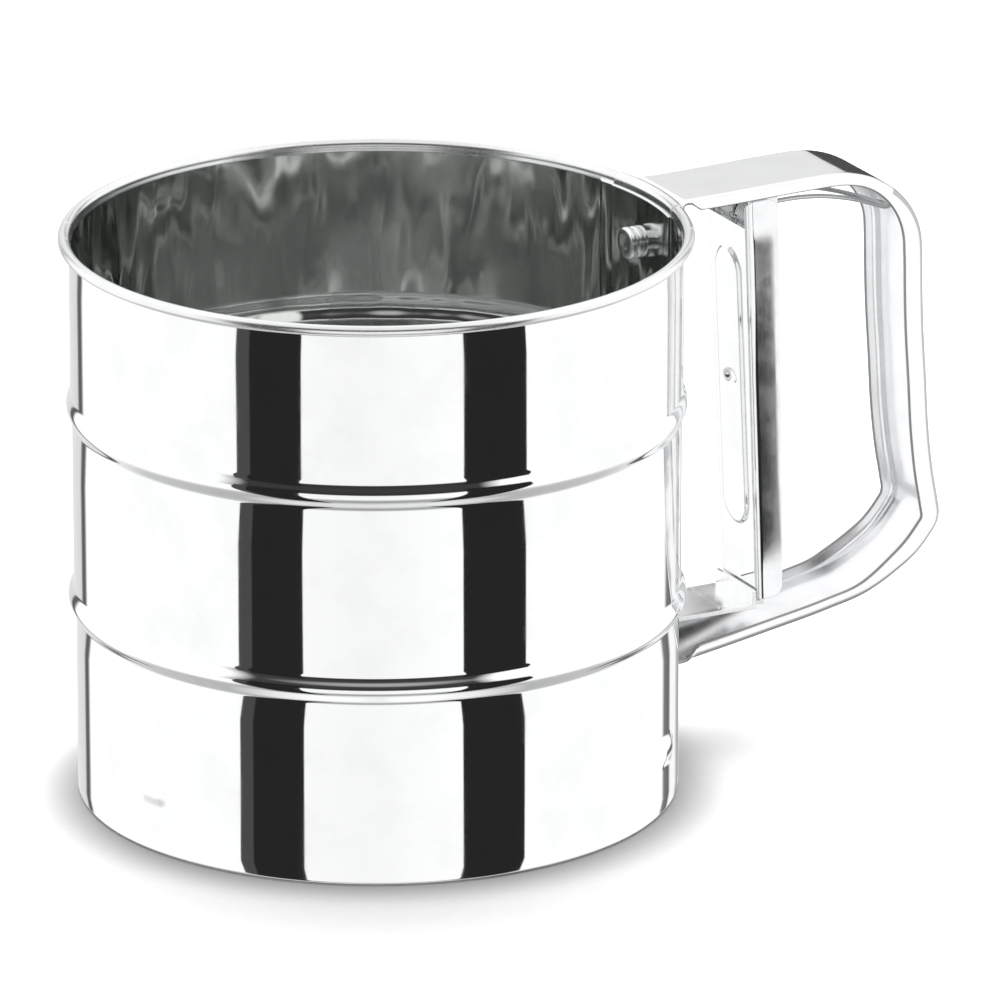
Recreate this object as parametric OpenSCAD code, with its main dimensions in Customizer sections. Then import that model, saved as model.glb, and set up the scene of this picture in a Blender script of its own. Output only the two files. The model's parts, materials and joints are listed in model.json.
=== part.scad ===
// Flour sifter with a squeeze trigger.
// Origin: cup axis at the base plane. +X points along the handle, +Z up. Millimetres.

/* [Cup] */
// Outer diameter of the cup's top band
cup_d = 125; // [124:0.2:126]
// Height over the rolled rim
cup_h = 118.8; // [118:0.2:120]
// Thickness of the cup's sheet
sheet_t = 0.5; // [0.4:0.05:0.5]
// How much smaller the middle band's radius is than the top band's
middle_step = 0.3; // [0.2:0.05:0.4]
// How much smaller the bottom band's radius is than the top band's
bottom_step = 0.7; // [0.6:0.05:0.8]
// Radius at the crest of both beads
bead_crest_r = 63.35; // [63:0.05:64]
// Height of the lower bead's crest
low_bead_z = 41.5; // [41:0.1:43]
// Height of the upper bead's crest
high_bead_z = 82.5; // [80:0.5:86]
// Height that one bead takes
bead_h = 6.4; // [5:0.1:6.4]
// Radius of the rolled rim's section
rim_roll_r = 1.3; // [1.2:0.05:1.4]
// Height of the folded hem at the base
hem_h = 5; // [4:0.1:5.2]
// Inner radius of the folded hem
hem_inner_r = 60.75; // [60.7:0.01:60.8]
// Height of the three oval bosses
boss_z = 12.9; // [12:0.1:13]

/* [Sieve] */
// Outer radius of the sieve ring
sieve_ring_r = 60.7; // [60.4:0.05:60.7]
// Height of the mesh's underside
mesh_z = 13.5; // [13.4:0.05:13.55]
// Thickness of the woven mesh
mesh_t = 0.4; // [0.3:0.05:0.4]
// Width of the cross bar
cross_bar_w = 12; // [10:0.5:14]

/* [Handle] */
// Width of the handle strap
strap_w = 20.5; // [20.3:0.1:21]
// Thickness of the handle strap
strap_t = 0.8; // [0.7:0.05:0.9]
// Depth of the turned-in edges on the top run
edge_top = 2.4; // [2:0.1:2.6]
// Depth of the turned-in edges on the grip
edge_grip = 5; // [4:0.1:5.4]
// Depth of the turned-in edges on the bottom run
edge_bottom = 3.1; // [2.6:0.1:3.3]
// Height of the strap's top face
strap_top_z = 118; // [117.9:0.05:118.2]

/* [Trigger] */
// Distance from the cup's axis to the trigger's hinge
hinge_x = 85; // [84.8:0.1:85.2]
// Height of the trigger's hinge
hinge_z = 110.5; // [110.3:0.1:110.7]
// Radius of the hinge pin
hinge_pin_r = 1.5; // [1.3:0.05:1.6]
// Full squeeze of the trigger in degrees
trigger_swing = 10; // [8:0.5:10]
// How far the lever leans outward, in degrees
lever_lean = 2.54; // [2:0.02:3]
// Lever width at the hinge
lever_top_w = 18.3; // [18.2:0.1:18.4]
// Lever width at its lower end
lever_low_w = 16.3; // [15.5:0.1:16.5]
// Thickness of the lever's sheet
lever_t = 0.9; // [0.8:0.05:0.9]

/* [Drive] */
// Underside of the drive link
link_z = 26.4; // [26.3:0.05:26.5]
// Thickness of the drive link
link_t = 0.8; // [0.7:0.05:0.8]
// Width of the drive link outside the cup
link_w = 16.4; // [15:0.1:16.4]
// Half of the agitator's whole turn, in degrees
half_turn = 20; // [20:1:24]
// Radius of the pivot post's bearing length
post_r = 3; // [2.8:0.05:3.1]
// Length of an agitator blade along its curve
blade_l = 50; // [44:0.5:51]

/* [Hidden] */
$fn = 96;

steel = [0.78, 0.79, 0.80];
bright = [0.86, 0.87, 0.88];
dark_steel = [0.62, 0.63, 0.65];

eps = 0.01;           // overlap where two shapes of one piece join
layer_gap = 0.02;     // gap between sheets that lie on each other
running = 0.05;       // radial clearance of a pin that turns in its hole

top_r = cup_d / 2;
middle_r = top_r - middle_step;
low_r = top_r - bottom_step;
low_inner_r = low_r - sheet_t;
lap_inner_r = low_r - 2 * sheet_t;
rim_r = top_r + 1.05;  // centre of the rolled rim's section
rim_z = cup_h - rim_roll_r;
rim_clear_r = rim_r + rim_roll_r + 0.25;
lap_start = -12;      // the lap seam's two edges, in degrees from the handle
lap_end = 11.5;
lap_gap = 1.5;        // between the folded hem and the seam's second layer

rivet_r = 1.6;
rivet_head_r = 2.5;
rivet_head_h = 0.9;
upper_rivet_a = 3;
upper_rivet_z = 106.4;
lower_rivet_a = 5.6;
lower_rivet_z = 32;
wall_cut = [56, 66];  // radii between which holes are cut through the wall and what lies on it
slot_half_w = 8.7;
slot_clear = 0.5;
slot_low_z = link_z - slot_clear;
slot_high_z = link_z + link_t + slot_clear;

corner_c = [104.2, 100.4];    // centre of the handle's top corner
corner_r = strap_top_z - corner_c[1];
tab_r = 63.32;
upper_tab_z = 98;
lower_tab_z = 17.4;
lower_tab_top_z = 36;
strap_flat_start = 62;

web_offset = 4.43;    // from the hinge axis to the web's face on the cup's side
lever_drop = 82.2;    // from the hinge axis to the lever's lower end
link_travel = lever_drop * sin(trigger_swing);
drive_pin_r = 1.5;
drive_r = link_travel / 2 / sin(half_turn);
drive_rest = [-drive_r * sin(half_turn), -drive_r * cos(half_turn)];

hub_r = 6.5;
hub_low_z = 15;
hub_top_z = 25;
arm_z = 22.6;
arm_t = 1.2;
spigot_r = 5;
blade_h = 5;
blade_t = 1;
blade_curve_r = 80;
blade_root = 5;
first_blade_a = 32;

wire_r = 0.5;
coil_r = 2.6;
coil_turns = 4;
coil_pitch = 1.02;
coil_start_y = 1.1;

// Points on an arc about c, from a0 to a1 degrees in n steps
function arc(c, r, a0, a1, n) =
    [for (i = [0:n]) c + r * [cos(a0 + (a1 - a0) * i / n), sin(a0 + (a1 - a0) * i / n)]];

// 0 below a, 1 above b, and smooth between
function ease(x, a, b) = let (t = min(1, max(0, (x - a) / (b - a)))) t * t * (3 - 2 * t);

// ---- Cup ----

function bead_rise(t) = (1 - cos(360 * t)) / 2;

// Outer radius of the wall across one bead, t from 0 to 1
function bead_point(z_mid, r_below, r_above, t) =
    let (band = r_below + (r_above - r_below) * t)
    [band + (bead_crest_r - band) * bead_rise(t), z_mid + bead_h * (t - 0.5)];

function bead(z_mid, r_below, r_above, steps = 16) =
    [for (i = [0:steps]) bead_point(z_mid, r_below, r_above, i / steps)];

wall = concat(bead(low_bead_z, low_r, middle_r), bead(high_bead_z, middle_r, top_r));

function inward(points, d) = [for (p = points) [p[0] - d, p[1]]];

function reversed(points) = [for (i = [len(points) - 1:-1:0]) points[i]];

// The sheet from the hem's fold up to the rolled rim
function shell_outline() =
    concat([[hem_inner_r, 0], [low_r - 0.3, 0], [low_r, 0.3]],
           wall,
           [[top_r, rim_z], [top_r - sheet_t, rim_z]],
           reversed(inward(wall, sheet_t)),
           [[low_inner_r, hem_h], [hem_inner_r, hem_h]]);

// One face of the lap seam's second layer, d inside the wall's outer face
function lap_outline(d) =
    concat([[low_r - d, hem_h + lap_gap]], inward(wall, d), [[top_r - d, rim_z - rim_roll_r]]);

module ring(outer_r, inner_r, z0, z1) {
    translate([0, 0, z0])
        difference() {
            cylinder(r = outer_r, h = z1 - z0);
            translate([0, 0, -1]) cylinder(r = inner_r, h = z1 - z0 + 2);
        }
}

// An oval that stands across the wall at angle a, with its long side level
module oval_across(a, z, half_l, half_h, r0, r1) {
    rotate([0, 0, a])
        translate([r0, 0, z])
            rotate([0, 90, 0])
                linear_extrude(r1 - r0) {
                    square([2 * half_h, 2 * (half_l - half_h)], center = true);
                    for (s = [-1, 1]) translate([0, s * (half_l - half_h)]) circle(r = half_h);
                }
}

// A cylinder along the radius at angle a
module radial_pin(a, z, r, r0, r1) {
    rotate([0, 0, a]) translate([r0, 0, z]) rotate([0, 90, 0]) cylinder(r = r, h = r1 - r0);
}

// The slot that the drive link slides through
module link_slot() {
    translate([wall_cut[0], -slot_half_w, slot_low_z])
        cube([wall_cut[1] - wall_cut[0], 2 * slot_half_w, slot_high_z - slot_low_z]);
}

// Rivet holes through the wall at these angles
module wall_holes(angles, z) {
    for (a = angles) radial_pin(a, z, rivet_r, wall_cut[0], wall_cut[1]);
}

// The three ovals pressed out round the base
module cup_bosses() {
    boss_angles = [-164, -44, 76];
    boss_half_l = 5.5;
    boss_half_h = 3.7;
    boss_out = 0.7;
    root_r = low_r - sheet_t / 2;
    for (a = boss_angles) {
        intersection() {
            oval_across(a, boss_z, boss_half_l, boss_half_h, root_r, low_r + 2 * boss_out);
            ring(low_r + boss_out, root_r, boss_z - 2 * boss_half_h, boss_z + 2 * boss_half_h);
        }
    }
}

module cup_shell() {
    color(bright)
        difference() {
            union() {
                rotate_extrude() polygon(shell_outline());
                rotate([0, 0, lap_start])
                    rotate_extrude(angle = lap_end - lap_start)
                        polygon(concat(lap_outline(sheet_t - eps),
                                       reversed(lap_outline(2 * sheet_t))));
                rotate_extrude()
                    translate([rim_r, rim_z])
                        difference() {
                            circle(r = rim_roll_r, $fn = 32);
                            circle(r = rim_roll_r - sheet_t, $fn = 32);
                        }
                cup_bosses();
            }
            link_slot();
            wall_holes([upper_rivet_a], upper_rivet_z);
            wall_holes([-lower_rivet_a, lower_rivet_a], lower_rivet_z);
        }
}

module rim_wire() {
    color(dark_steel)
        rotate_extrude()
            translate([rim_r, rim_z]) circle(r = rim_roll_r - sheet_t - running, $fn = 32);
}

// ---- Sieve ----

lip_inner_r = 56.5;
ring_wall_t = 0.5;
ring_face_r = sieve_ring_r - ring_wall_t - layer_gap;  // face that the cross bar's ends lie on
bar_z = 8;
bar_t = 1.2;
bar_rivet_z = 10.9;
bar_rivet_r = 1;

module bar_rivet_holes() {
    for (s = [-1, 1]) radial_pin(90 * s, bar_rivet_z, bar_rivet_r, wall_cut[0], wall_cut[1]);
}

module sieve_ring() {
    ring_low_z = 7.5;
    ring_top_z = 16;
    lip_t = 0.6;
    color(steel)
        difference() {
            union() {
                ring(sieve_ring_r, sieve_ring_r - ring_wall_t, ring_low_z, ring_top_z);
                ring(sieve_ring_r - ring_wall_t / 2, lip_inner_r, mesh_z - lip_t, mesh_z);
            }
            bar_rivet_holes();
        }
}

module sieve_mesh() {
    hole_clear = 0.3;
    color(dark_steel)
        ring(ring_face_r - 0.2, post_r + hole_clear, mesh_z + layer_gap, mesh_z + mesh_t);
}

module mesh_clamp_ring() {
    clamp_t = 1;
    color(steel)
        ring(ring_face_r - 0.1, lip_inner_r, mesh_z + mesh_t + layer_gap,
             mesh_z + mesh_t + clamp_t);
}

module cross_bar() {
    tab_top_z = 12.6;
    span = 2 * sieve_ring_r;
    color(steel)
        difference() {
            intersection() {
                translate([-cross_bar_w / 2, -span / 2, bar_z])
                    cube([cross_bar_w, span, tab_top_z - bar_z]);
                union() {
                    translate([0, 0, bar_z]) cylinder(r = ring_face_r, h = bar_t);
                    ring(ring_face_r, ring_face_r - bar_t, bar_z, tab_top_z);
                }
            }
            translate([0, 0, bar_z - 1]) cylinder(r = post_r, h = bar_t + 2);
            bar_rivet_holes();
        }
}

// Flat-headed rivets that hold the cross bar's ends to the ring
module cross_bar_rivets() {
    head_r = 1.55;
    head_h = 0.45;
    outer_face = sieve_ring_r + 0.05;
    inner_face = ring_face_r - bar_t - 0.05;
    color(bright)
        for (s = [-1, 1]) {
            radial_pin(90 * s, bar_rivet_z, bar_rivet_r - layer_gap, inner_face - 0.2,
                       outer_face + 0.2);
            radial_pin(90 * s, bar_rivet_z, head_r, outer_face, outer_face + head_h);
            radial_pin(90 * s, bar_rivet_z, head_r, inner_face - head_h, inner_face);
        }
}

post_top_z = 25.15;
thread_r = 2.5;
thread_top_z = 30.2;
washer_t = 0.65;

// Riveted through the cross bar, with a shoulder under the mesh and a thread on top
module pivot_post() {
    tail_r = 4.5;
    tail_h = 1;
    shoulder_r = 5;
    color(bright) {
        translate([0, 0, bar_z - tail_h]) cylinder(r = tail_r, h = tail_h - layer_gap);
        translate([0, 0, bar_z - tail_h / 2])
            cylinder(r = post_r - layer_gap, h = bar_t + tail_h);
        translate([0, 0, bar_z + bar_t + layer_gap])
            cylinder(r = shoulder_r, h = mesh_z - bar_z - bar_t - 2 * layer_gap);
        translate([0, 0, mesh_z - 1]) cylinder(r = post_r, h = post_top_z - mesh_z + 1);
        translate([0, 0, post_top_z - 1])
            cylinder(r = thread_r, h = thread_top_z - post_top_z + 1);
    }
}

module pivot_washer_lower() {
    color(steel)
        ring(hub_r, post_r + running, mesh_z + mesh_t + layer_gap, hub_low_z - layer_gap);
}

module pivot_washer_upper() {
    washer_r = 5.2;
    color(steel)
        ring(washer_r, thread_r + running, post_top_z + layer_gap, post_top_z + washer_t);
}

// Hexagon nut with its top corners chamfered
module pivot_nut() {
    nut_z = post_top_z + washer_t + layer_gap;
    nut_h = 3.2;
    across_corners_r = 4.6;
    color(bright)
        difference() {
            intersection() {
                translate([0, 0, nut_z]) cylinder(r = across_corners_r, h = nut_h, $fn = 6);
                translate([0, 0, nut_z])
                    cylinder(r1 = across_corners_r + 1.6, r2 = across_corners_r - 0.5, h = nut_h);
            }
            translate([0, 0, nut_z - 1]) cylinder(r = thread_r + layer_gap, h = nut_h + 2);
        }
}

plate_t = 0.6;
plate_inner_r = lap_inner_r - plate_t - layer_gap;

// Guide plate inside the wall, round the link's slot
module slot_plate() {
    plate_top_z = 36;
    plate_half_a = 12;
    border = 2.4;
    color(steel)
        difference() {
            rotate([0, 0, -plate_half_a])
                rotate_extrude(angle = 2 * plate_half_a)
                    translate([plate_inner_r, slot_low_z - border])
                        square([plate_t, plate_top_z - slot_low_z + border]);
            link_slot();
            wall_holes([-lower_rivet_a, lower_rivet_a], lower_rivet_z);
        }
}

// ---- Handle ----

// Outer face of the strap, from the rim round the grip to the cup's wall, as [x, z]
strap_run = concat(
    [[strap_flat_start, strap_top_z], [84, strap_top_z]],
    arc(corner_c, corner_r, 90, 0, 12),
    [[122.3, 84], [123.1, 72], [123.9, 60], [125, 51], [126.1, 45]],
    [[126.6, 41], [126.1, 39], [124.6, 36.8], [121.2, 33], [116.3, 29.6], [109.5, 26.1],
     [100, 23.7], [86, 21.1], [72, 18.7], [strap_flat_start, 17.2]]);

// How far the turned-in edge reaches along the top corner's arc, deepest at the grip
function corner_edge_r(a) = corner_r - edge_top - (edge_grip - edge_top) * ease(90 - a, 20, 90);

// Free edge of the turned-in sides, along the same way
edge_run = concat(
    [[strap_flat_start, strap_top_z - edge_top], [84, strap_top_z - edge_top]],
    [for (a = [90:-7.5:0]) corner_c + corner_edge_r(a) * [cos(a), sin(a)]],
    [[122.3 - edge_grip, 84], [123 - edge_grip, 72], [123.7 - edge_grip, 60],
     [124.8 - edge_grip, 51], [126 - edge_grip, 45]],
    [[126.2 - edge_grip, 42.6], [119.6, 40], [116.6, 36.6], [112.4, 33.2], [107.6, 30.4]],
    [[99.3, 23.7 + edge_bottom], [85.5, 21.1 + edge_bottom], [71.6, 18.7 + edge_bottom],
     [strap_flat_start, 17.2 + edge_bottom]]);

// Unit normal of the run at point i, pointing into the finger loop
function run_normal(i) =
    let (a = strap_run[max(0, i - 1)], b = strap_run[min(len(strap_run) - 1, i + 1)], d = b - a)
    [d[1], -d[0]] / norm(d);

function strap_inset(depth) =
    [for (i = [0:len(strap_run) - 1]) strap_run[i] + depth * run_normal(i)];

// Extrudes a shape drawn in x and z across the handle, from y0 to y1
module across(y0, y1) {
    translate([0, y1, 0]) rotate([90, 0, 0]) linear_extrude(y1 - y0) children();
}

module wall_tab(outer_r, inner_r, z0, z1, half_w) {
    half_a = asin(half_w / outer_r);
    rotate([0, 0, -half_a])
        rotate_extrude(angle = 2 * half_a)
            translate([inner_r, z0]) square([outer_r - inner_r, z1 - z0]);
}

// The tab under the rim: flat on the wall, then stepping out past the rolled rim
module upper_tab() {
    half_a = asin(strap_w / 2 / tab_r);
    inner = top_r + layer_gap;
    outer_step = 65.9;
    rotate([0, 0, -half_a])
        rotate_extrude(angle = 2 * half_a)
            polygon([[inner, upper_tab_z], [tab_r, upper_tab_z], [tab_r, 113.4],
                     [outer_step, 115.4], [outer_step, strap_top_z],
                     [rim_clear_r, strap_top_z], [rim_clear_r, 115.9],
                     [inner, 113.9]]);
}

module handle_strap() {
    half_w = strap_w / 2;
    edge_start_x = 67;
    color(bright)
        difference() {
            union() {
                difference() {
                    across(strap_t - half_w, half_w - strap_t)
                        polygon(concat(strap_run, reversed(strap_inset(strap_t))));
                    translate([0, 0, cup_h / 2]) cylinder(r = rim_clear_r + 0.2, h = cup_h);
                    cylinder(r = low_r + strap_t / 2, h = cup_h / 2 - 1);
                }
                difference() {
                    for (y = [-half_w, half_w - strap_t]) {
                        across(y, y + strap_t)
                            polygon(concat(strap_run, reversed(edge_run)));
                    }
                    cylinder(r = edge_start_x, h = cup_h + 1);
                }
                upper_tab();
                wall_tab(low_r + layer_gap + strap_t, low_r + layer_gap, lower_tab_z,
                         lower_tab_top_z, half_w);
            }
            link_slot();
            wall_holes([upper_rivet_a], upper_rivet_z);
            wall_holes([-lower_rivet_a, lower_rivet_a], lower_rivet_z);
        }
}

// A rivet's shank and the flat upset head outside the wall
module wall_rivet(a, z, inner_face, outer_face) {
    radial_pin(a, z, rivet_r - layer_gap, inner_face - 0.2, outer_face + 0.2);
    radial_pin(a, z, rivet_head_r, outer_face + 0.1, outer_face + 0.8);
}

// A shape drawn in radius and height, turned about a rivet's axis and set on the wall's inside
module rivet_turned(a, z, inner_face) {
    rotate([0, 0, a]) translate([inner_face, 0, z]) rotate([0, -90, 0]) rotate_extrude() children();
}

// One large rivet, with a washer between its thick head and the wall
module upper_handle_rivet() {
    head_r = 3.4;
    washer_rivet_r = 3.3;
    neck_r = 2.3;
    inner_face = top_r - 2 * sheet_t;
    color(bright) {
        wall_rivet(upper_rivet_a, upper_rivet_z, inner_face, tab_r);
        rivet_turned(upper_rivet_a, upper_rivet_z, inner_face)
            polygon([[0, 0.05], [washer_rivet_r, 0.05], [washer_rivet_r, 1.1], [neck_r, 1.2],
                     [neck_r, 1.5], [head_r, 1.6], [head_r, 2.6], [head_r - 0.4, 3], [0, 3]]);
    }
}

module lower_handle_rivets() {
    color(bright)
        for (s = [-1, 1]) {
            wall_rivet(s * lower_rivet_a, lower_rivet_z, plate_inner_r,
                       low_r + layer_gap + strap_t);
            rivet_turned(s * lower_rivet_a, lower_rivet_z, plate_inner_r)
                polygon([[0, 0.1], [rivet_head_r, 0.1], [rivet_head_r - 0.7, rivet_head_h],
                         [0, rivet_head_h]]);
        }
}

// ---- Hinge and trigger ----

ear_out = 7.9;
ear_in = 7.0;
ear_r = 3.2;
bracket_top_z = strap_top_z - strap_t - layer_gap;

module pin_across(r, y0, y1) {
    translate([hinge_x, y1, hinge_z]) rotate([90, 0, 0]) cylinder(r = r, h = y1 - y0);
}

module hinge_bracket() {
    base_t = 0.9;
    base_l = 2 * ear_r + 3;
    color(steel)
        difference() {
            union() {
                translate([hinge_x - ear_r, -ear_out, bracket_top_z - base_t])
                    cube([base_l, 2 * ear_out, base_t]);
                for (y = [-ear_out, ear_in]) {
                    across(y, y + ear_out - ear_in)
                        translate([hinge_x, hinge_z]) {
                            circle(r = ear_r);
                            translate([-ear_r, 0])
                                square([2 * ear_r, bracket_top_z - base_t / 2 - hinge_z]);
                        }
                }
            }
            pin_across(hinge_pin_r + running, -12, 12);
        }
}

clip_y = 6.35;
clip_t = 0.5;
groove_r = hinge_pin_r - 0.3;

module hinge_pin() {
    end_y = lever_top_w / 2 - 0.1;
    color(bright)
        difference() {
            pin_across(hinge_pin_r, -end_y, end_y);
            difference() {
                pin_across(hinge_pin_r + 1, clip_y, clip_y + clip_t);
                pin_across(groove_r, clip_y - 1, clip_y + 1);
            }
        }
}

module hinge_pin_clip() {
    color(dark_steel)
        difference() {
            pin_across(hinge_pin_r + 1, clip_y + layer_gap, clip_y + clip_t - layer_gap);
            pin_across(groove_r + layer_gap, clip_y - 1, clip_y + 1);
        }
}

// Half of a coil's section: the outer bulges of its turns for side 1, the inner for side -1
function coil_side(side) =
    [for (i = [0:coil_turns - 1], a = [-65:26:65])
        [coil_r + side * wire_r * cos(a), (i + 0.5) * coil_pitch + wire_r * sin(a)]];

// One ring of a swept wire: around point p, square to direction t
function wire_ring(p, t, r, sides) =
    let (u = cross(t, [0, 0, 1]) / norm(cross(t, [0, 0, 1])), v = cross(u, t))
    [for (k = [0:sides - 1]) p + r * (cos(360 * k / sides) * u + sin(360 * k / sides) * v)];

function direction(path, i) =
    let (d = path[min(len(path) - 1, i + 1)] - path[max(0, i - 1)]) d / norm(d);

// A wire of radius r that follows a level path
module swept_wire(path, r, sides = 10) {
    count = len(path);
    points = [for (i = [0:count - 1]) each wire_ring(path[i], direction(path, i), r, sides)];
    faces = concat(
        [[for (k = [sides - 1:-1:0]) k]],
        [for (i = [0:count - 2], k = [0:sides - 1])
            [i * sides + k, i * sides + (k + 1) % sides,
             (i + 1) * sides + (k + 1) % sides, (i + 1) * sides + k]],
        [[for (k = [0:sides - 1]) (count - 1) * sides + k]]);
    polyhedron(points = points, faces = faces);
}

// A point of the long loop, t from -1 on one side to 1 on the other
function loop_point(t) =
    let (reach = 33.4, nose = 2.2, half_y = coil_start_y + coil_turns * coil_pitch + wire_r + 0.03,
         along = min(1, (1 - abs(t)) / 0.88), turn = max(-1, min(1, t / 0.12)))
    [hinge_x + reach * along - nose * (1 - sqrt(1 - turn * turn * 0.98)),
     abs(t) < 0.12 ? nose * turn : (nose + (half_y - nose) * (1 - along)) * sign(t),
     hinge_z + coil_r - 5.4 * pow(along, 2) + 0.8 * sin(180 * along)];

// Coils round the hinge pin, a long wire loop to the grip's corner, and two arms on the web
module return_spring() {
    arm_y = 0.55;
    arm_l = 12;
    color(dark_steel) {
        for (s = [0, 180]) {
            translate([hinge_x, 0, hinge_z])
                rotate([90, 0, s])
                    translate([0, 0, coil_start_y])
                        rotate_extrude($fn = 48) polygon(concat(coil_side(1), reversed(coil_side(-1))));
        }
        swept_wire([for (i = [-25:25]) loop_point(i / 25)], wire_r);
        translate([hinge_x, 0, hinge_z])
            rotate([0, -lever_lean, 0])
                for (s = [-1, 1]) {
                    translate([-coil_r, s * arm_y, -arm_l])
                        cylinder(r = wire_r, h = arm_l + 2, $fn = 24);
                }
    }
}

// Lever profiles, drawn with the hinge axis at the origin and the web upright
lever_top = 5;
web_top = -0.9;

function lever_side() =
    let (depth_top = 7, depth_low = 5.8, low = -lever_drop)
    concat([[-web_offset, low], [depth_low - web_offset - 2.5, low]],
           arc([depth_low - web_offset - 2.5, low + 2.5], 2.5, -60, 0, 4),
           [[depth_top - web_offset, -8]],
           arc([depth_top - web_offset - 2.2, lever_top - 2.2], 2.2, 0, 90, 5),
           arc([-web_offset + 1.5, lever_top - 1.5], 1.5, 90, 180, 5));

function lever_front(inset) =
    let (half_top = lever_top_w / 2 - inset, half_low = lever_low_w / 2 - inset)
    [[-half_low, -lever_drop - 2 * inset], [half_low, -lever_drop - 2 * inset],
     [half_top, 4 * inset + lever_top], [-half_top, 4 * inset + lever_top]];

module lever_prism(inset) {
    rotate([90, 0, 90]) translate([0, 0, -10]) linear_extrude(20) polygon(lever_front(inset));
}

// A long oval on the web's face on the cup's side
module web_oval(half_w, z0, z1, x0, x1) {
    translate([x0, 0, 0])
        rotate([90, 0, 90])
            linear_extrude(x1 - x0) {
                translate([-half_w, z0 + half_w]) square([2 * half_w, z1 - z0 - 2 * half_w]);
                for (z = [z0 + half_w, z1 - half_w]) translate([0, z]) circle(r = half_w);
            }
}

module trigger_lever() {
    face = -web_offset;
    bead_low = 43 - hinge_z;
    bead_high = 104 - hinge_z;
    oval_half_w = 5.5;
    oval_side_t = 0.7;
    oval_out = 0.6;
    dimple_z = 75.5;
    color(bright)
        translate([hinge_x, 0, hinge_z])
            rotate([0, -lever_lean, 0])
                difference() {
                    union() {
                        difference() {
                            intersection() {
                                lever_prism(0);
                                across(-12, 12) polygon(lever_side());
                            }
                            intersection() {
                                lever_prism(lever_t);
                                translate([face + lever_t, -12, -90]) cube([20, 24, 110]);
                            }
                            translate([face - 1, -lever_top_w / 2 + lever_t, web_top])
                                cube([4, lever_top_w - 2 * lever_t, 10]);
                        }
                        web_oval(oval_half_w, bead_low, bead_high, face - oval_out, face + 0.2);
                    }
                    web_oval(oval_half_w - oval_side_t, bead_low + oval_side_t,
                             bead_high - oval_side_t, face, face + 2);
                    translate([face - oval_out - 0.2, 0, dimple_z - hinge_z])
                        rotate([0, 90, 0]) cylinder(r = 1.9, h = 0.5);
                    translate([0, 12, 0])
                        rotate([90, 0, 0]) cylinder(r = hinge_pin_r + running, h = 24);
                }
}

// ---- Drive ----

module drive_link() {
    half_w = link_w / 2;
    arm_y = drive_rest[1];
    pin_x = drive_rest[0];
    slot_w = 2 * drive_pin_r + 0.6;
    slot_l = drive_r - drive_r * cos(half_turn) + 2 * drive_pin_r + 0.8;
    front_lip = 82.9;
    front_lip_h = 3.9;
    rear_lip = 85.9;
    rear_lip_h = 4.4;
    rear_half_w = 6;
    inner_end = 9.2;
    dimple_x = 76.3;
    dimple_y = 6.4;
    color(steel)
        difference() {
            union() {
                translate([0, 0, link_z])
                    linear_extrude(link_t)
                        polygon([[rear_lip + link_t, -rear_half_w],
                                 [rear_lip + link_t, rear_half_w],
                                 [front_lip + link_t, rear_half_w],
                                 [front_lip + link_t, half_w],
                                 [inner_end + 5, half_w], [inner_end, half_w - 5],
                                 [inner_end, arm_y + 8], [pin_x - 2.5, arm_y + 8],
                                 [pin_x - 5, arm_y + 5.5], [pin_x - 5, arm_y - 4.5],
                                 [pin_x - 2.5, arm_y - 7], [17, arm_y - 7], [36, -half_w],
                                 [front_lip + link_t, -half_w],
                                 [front_lip + link_t, -rear_half_w]]);
                translate([front_lip, -half_w, link_z]) cube([link_t, 2 * half_w, front_lip_h]);
                translate([rear_lip, -rear_half_w, link_z])
                    cube([link_t, 2 * rear_half_w, rear_lip_h]);
            }
            translate([pin_x - slot_w / 2, -drive_r - drive_pin_r - 0.4, link_z - 1])
                cube([slot_w, slot_l, link_t + 2]);
            for (s = [-1, 1]) {
                translate([dimple_x, s * dimple_y, link_z + link_t - 0.3])
                    cylinder(r = 0.8, h = 1);
            }
        }
}

module at_blade(i) {
    rotate([0, 0, first_blade_a + 90 * i]) children();
}

// A blade on edge: a flat strip bent to a long curve
module blade_shape(extra) {
    angle = 180 / PI * blade_l / blade_curve_r;
    translate([blade_root, blade_curve_r, hub_low_z])
        rotate([0, 0, -90])
            rotate_extrude(angle = angle, $fn = 360)
                translate([blade_curve_r - blade_t / 2 - extra, 0])
                    square([blade_t + 2 * extra, blade_h]);
}

module agitator_hub() {
    color(steel)
        difference() {
            union() {
                translate([0, 0, hub_low_z]) cylinder(r = hub_r, h = arm_z - hub_low_z);
                translate([0, 0, arm_z - 1]) cylinder(r = spigot_r, h = hub_top_z - arm_z + 1);
            }
            translate([0, 0, hub_low_z - 1])
                cylinder(r = post_r + running, h = hub_top_z - hub_low_z + 2);
            for (i = [0:3]) at_blade(i) blade_shape(layer_gap);
        }
}

module agitator_blade(i) {
    color(steel) at_blade(i) blade_shape(0);
}

module drive_arm() {
    arm_half_w = 4.5;
    color(steel)
        translate([0, 0, arm_z + layer_gap])
            difference() {
                linear_extrude(arm_t)
                    rotate(-90 - half_turn) {
                        circle(r = hub_r + 1);
                        translate([0, -arm_half_w]) square([drive_r, 2 * arm_half_w]);
                        translate([drive_r, 0]) circle(r = arm_half_w);
                    }
                translate([0, 0, -1]) cylinder(r = spigot_r + layer_gap, h = arm_t + 2);
                translate([drive_rest[0], drive_rest[1], -1])
                    cylinder(r = drive_pin_r, h = arm_t + 2);
            }
}

pin_clip_z = link_z + link_t + 0.5;
pin_clip_t = 0.7;
pin_groove_r = drive_pin_r - 0.4;

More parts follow.
